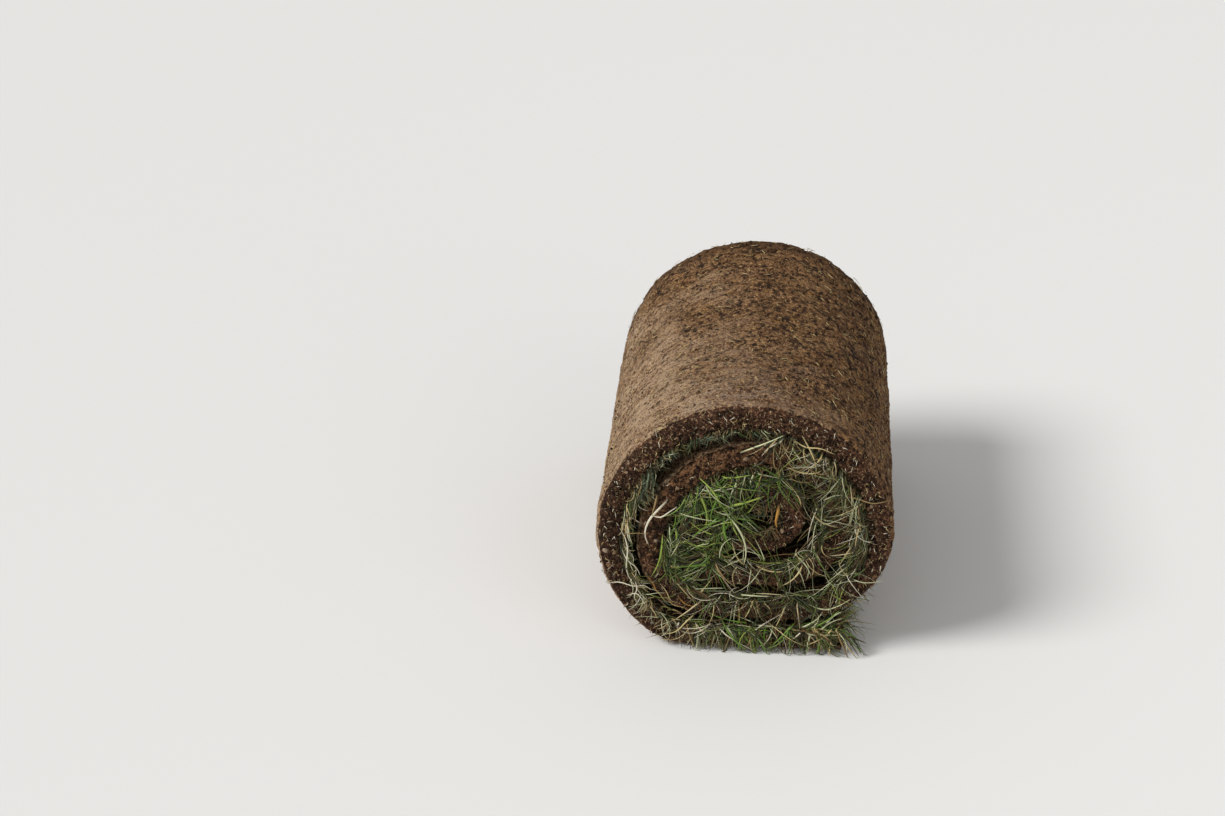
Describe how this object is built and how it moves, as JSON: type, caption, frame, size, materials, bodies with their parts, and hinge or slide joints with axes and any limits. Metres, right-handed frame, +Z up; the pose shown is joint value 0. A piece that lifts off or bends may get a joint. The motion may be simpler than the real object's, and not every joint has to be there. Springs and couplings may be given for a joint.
{
  "type": "roll of turf",
  "caption": "Rolled strip of lawn turf lying on its side, soil outwards and grass inwards, with its turns and eye showing on both ends.",
  "frame": {"origin": "on the floor, under the middle of the roll's box", "axes": "+Y along the roll, away from its near end; +Z up; +X towards the side under which the strip's cut tail lies"},
  "size_m": [0.3, 0.4, 0.284],
  "materials": {
    "soil": "matt, crumbly, rooty soil, dustier on the outside",
    "grass": "soft satin blades, green to straw",
    "thatch": "matt dry stems and pale roots"
  },
  "bodies": {
    "root": {"turf_roll": "soil"}
  },
  "joints": []
}
